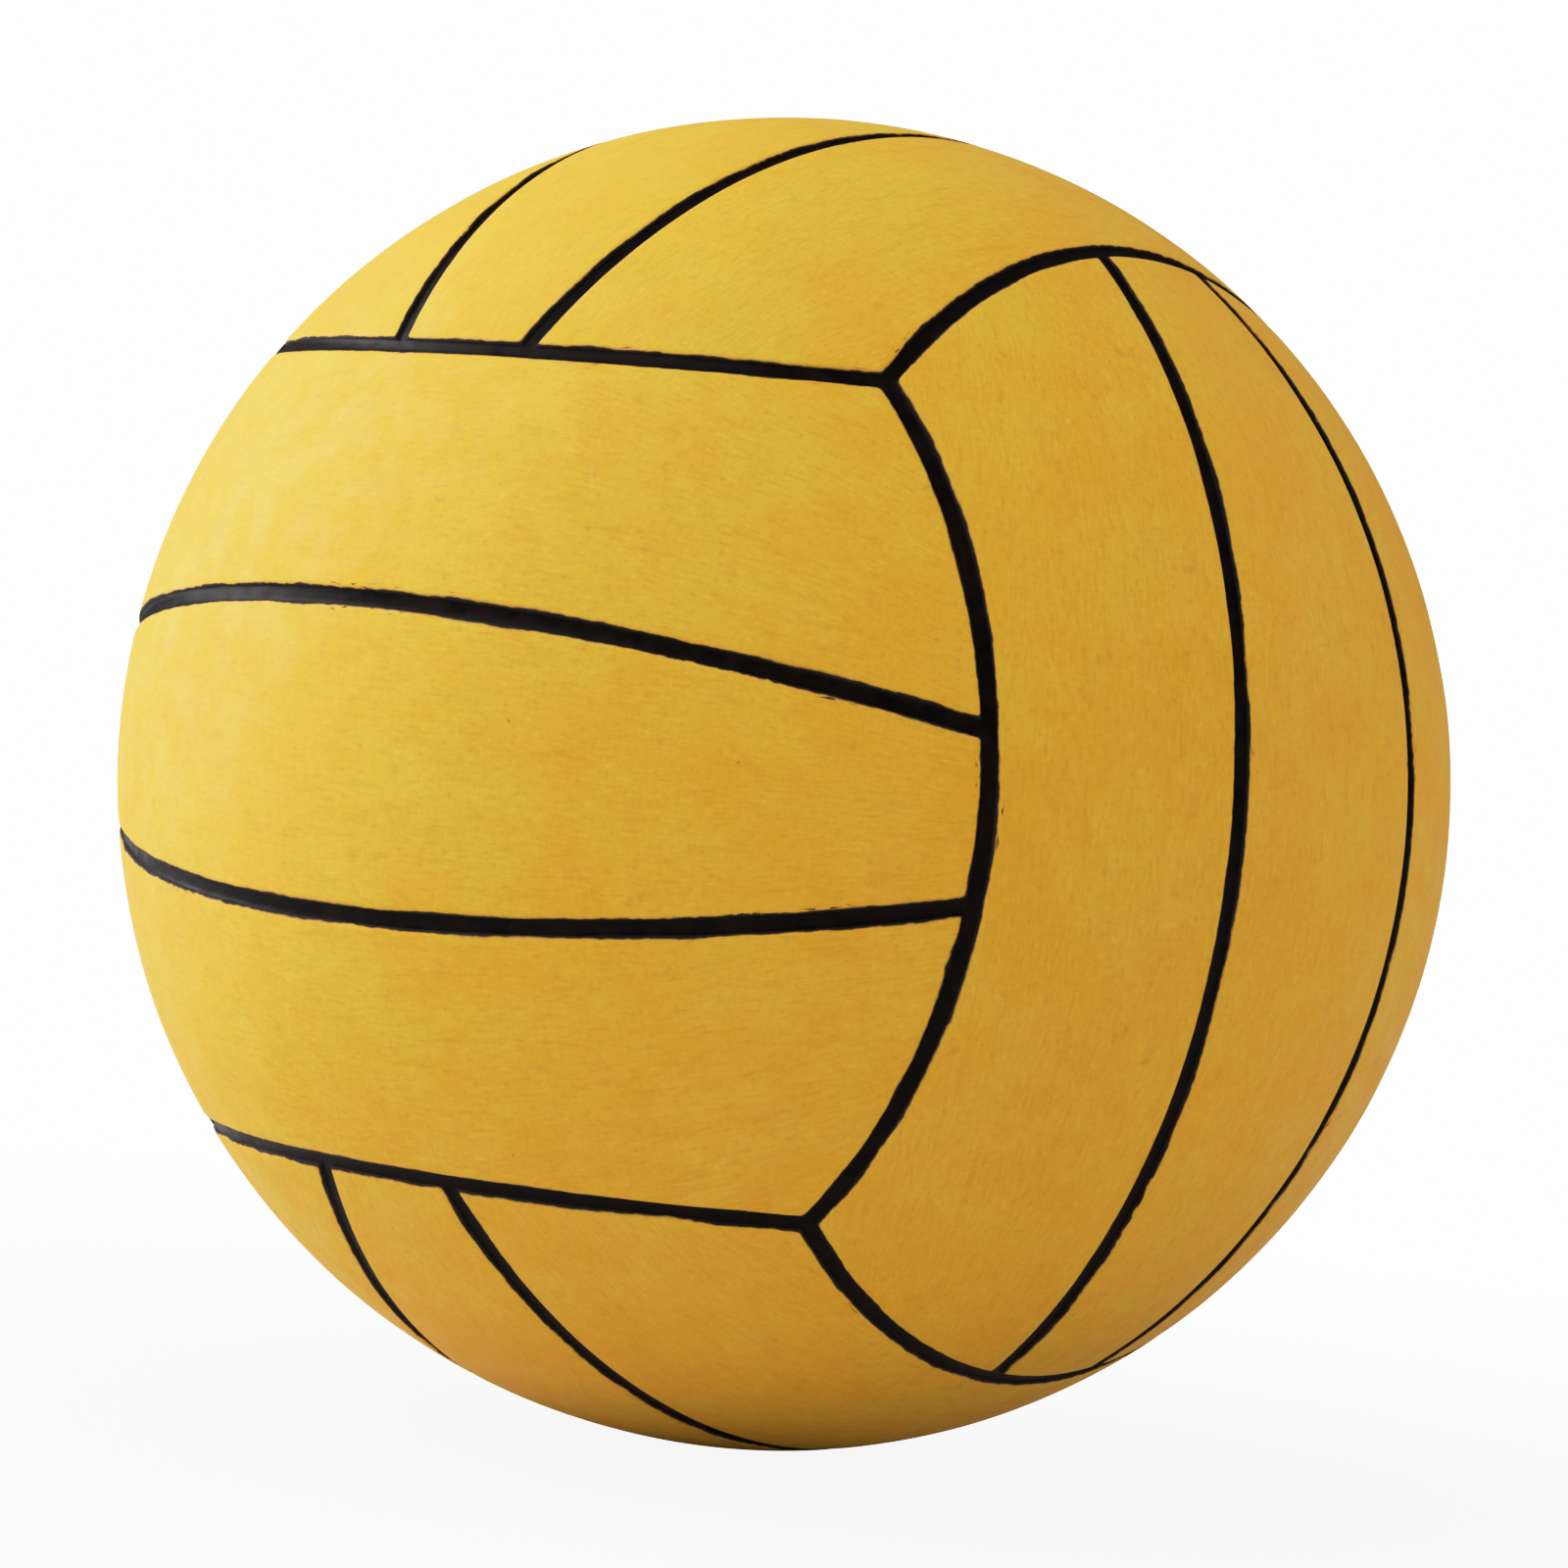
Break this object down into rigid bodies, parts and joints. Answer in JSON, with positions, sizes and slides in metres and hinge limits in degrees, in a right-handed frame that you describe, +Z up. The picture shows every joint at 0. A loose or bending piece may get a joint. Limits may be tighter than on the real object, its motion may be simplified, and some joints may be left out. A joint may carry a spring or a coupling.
{
  "type": "water polo ball",
  "caption": "Round yellow rubber water polo ball with strip panels in cube-like groups, black recessed seams and a pull-out needle valve for inflating it.",
  "frame": {"origin": "the ball's centre", "axes": "+Z up, -Y out of the front group of panels, whose strips lie level, +X out of the right group, whose strips stand upright, and +Y out of the valve at the back"},
  "size_m": [0.221, 0.2209, 0.221],
  "materials": {
    "cover_rubber": "matte",
    "seam_ink": "satin",
    "carcass_rubber": "matte",
    "winding_nylon": "matte",
    "bladder_butyl": "satin",
    "valve_rubber": "matte",
    "plug_rubber": "satin"
  },
  "bodies": {
    "ball": {"front_lower_panel": "cover_rubber", "front_middle_panel": "cover_rubber", "front_upper_panel": "cover_rubber", "back_lower_panel": "cover_rubber", "back_middle_panel": "cover_rubber", "back_upper_panel": "cover_rubber", "right_front_panel": "cover_rubber", "right_middle_panel": "cover_rubber", "right_back_panel": "cover_rubber", "left_front_panel": "cover_rubber", "left_middle_panel": "cover_rubber", "left_back_panel": "cover_rubber", "top_left_panel": "cover_rubber", "top_middle_panel": "cover_rubber", "top_right_panel": "cover_rubber", "bottom_left_panel": "cover_rubber", "bottom_middle_panel": "cover_rubber", "bottom_right_panel": "cover_rubber", "front_lower_seam": "seam_ink", "front_upper_seam": "seam_ink", "back_lower_seam": "seam_ink", "back_upper_seam": "seam_ink", "right_front_seam": "seam_ink", "right_back_seam": "seam_ink", "left_front_seam": "seam_ink", "left_back_seam": "seam_ink", "top_left_seam": "seam_ink", "top_right_seam": "seam_ink", "bottom_left_seam": "seam_ink", "bottom_right_seam": "seam_ink", "front_left_end_seam": "seam_ink", "front_right_end_seam": "seam_ink", "back_left_end_seam": "seam_ink", "back_right_end_seam": "seam_ink", "right_bottom_end_seam": "seam_ink", "right_top_end_seam": "seam_ink", "left_bottom_end_seam": "seam_ink", "left_top_end_seam": "seam_ink", "top_front_end_seam": "seam_ink", "top_back_end_seam": "seam_ink", "bottom_front_end_seam": "seam_ink", "bottom_back_end_seam": "seam_ink", "carcass": "carcass_rubber", "winding": "winding_nylon", "bladder": "bladder_butyl", "valve_housing": "valve_rubber"},
    "plug": {"valve_plug": "plug_rubber"}
  },
  "joints": [
    {"name": "plug_pull", "type": "slide", "parent": "ball", "child": "plug", "axis": [0, 1, 0], "range_m": [0, 0.03]}
  ]
}
